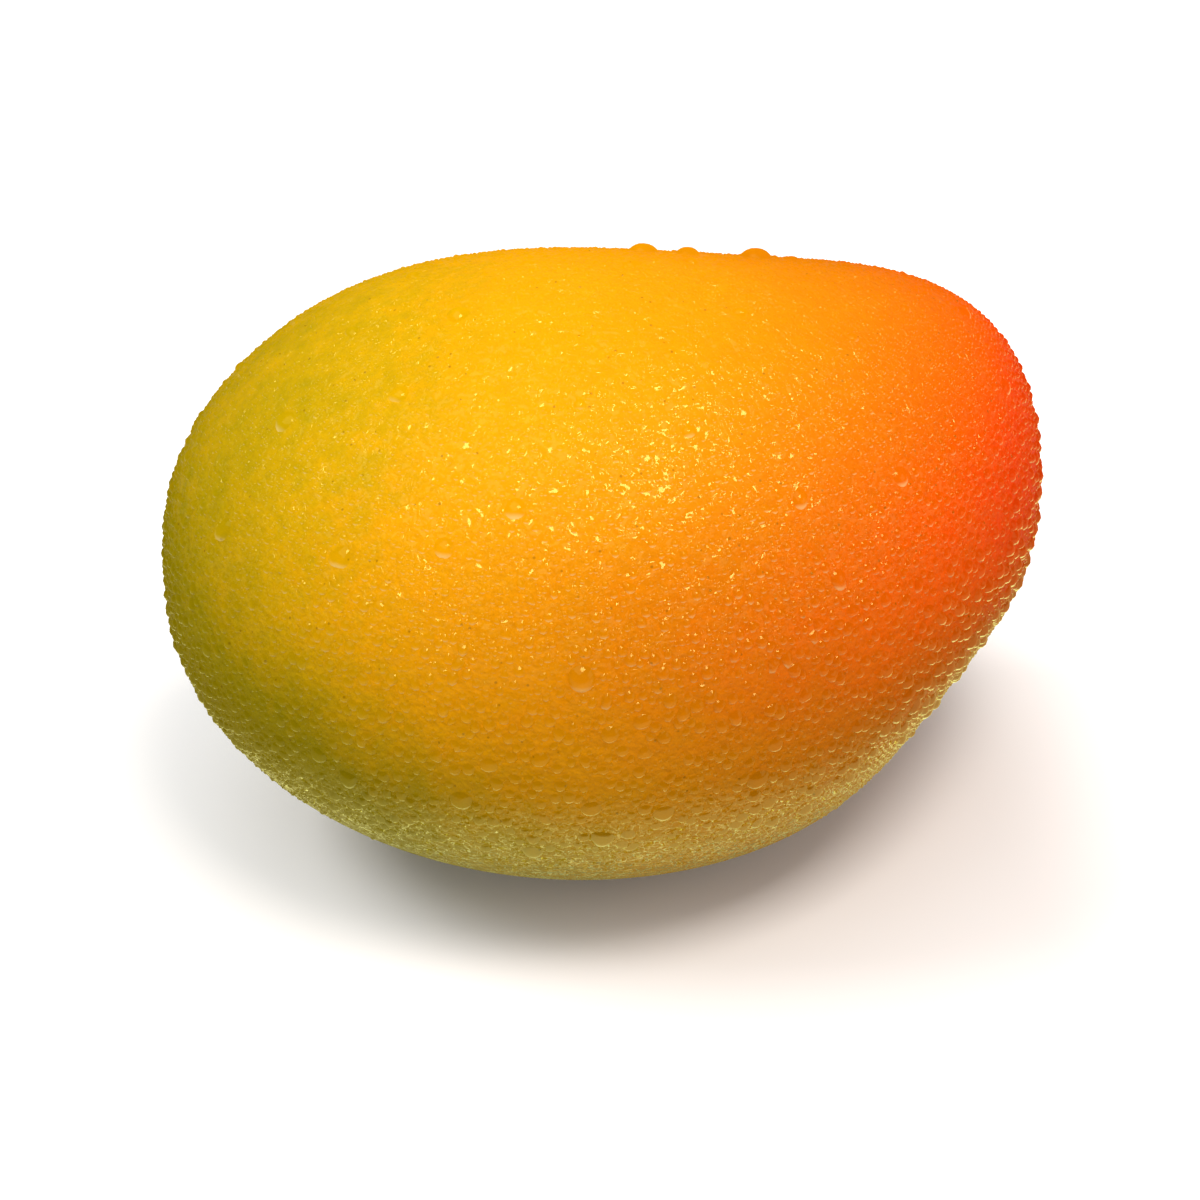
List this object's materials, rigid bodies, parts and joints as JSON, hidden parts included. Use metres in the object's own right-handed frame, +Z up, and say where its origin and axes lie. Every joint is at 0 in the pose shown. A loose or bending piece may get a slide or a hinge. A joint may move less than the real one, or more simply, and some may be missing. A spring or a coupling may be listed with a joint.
{
  "type": "mango",
  "caption": "Whole ripe mango lying on its flatter cheek, wet with drops of water, with the short stub of its cut stalk in the dimple at the stem end.",
  "frame": {"origin": "in the small flat spot that the fruit rests on, under the middle of its long axis", "axes": "+X from the apex to the stem end, +Y towards the straighter back of the fruit, +Z up from the table through the cheek that lies on top"},
  "size_m": [0.1218, 0.0889, 0.0825],
  "materials": {
    "skin": "thin waxy fruit skin, green at the apex through golden yellow to orange-red at the stem end, wet and glossy",
    "stub": "dry, matt, brown woody stalk with a paler cut face",
    "water": "clear beads of water"
  },
  "bodies": {
    "root": {"fruit": "skin", "stem_stub": "stub"}
  },
  "joints": []
}
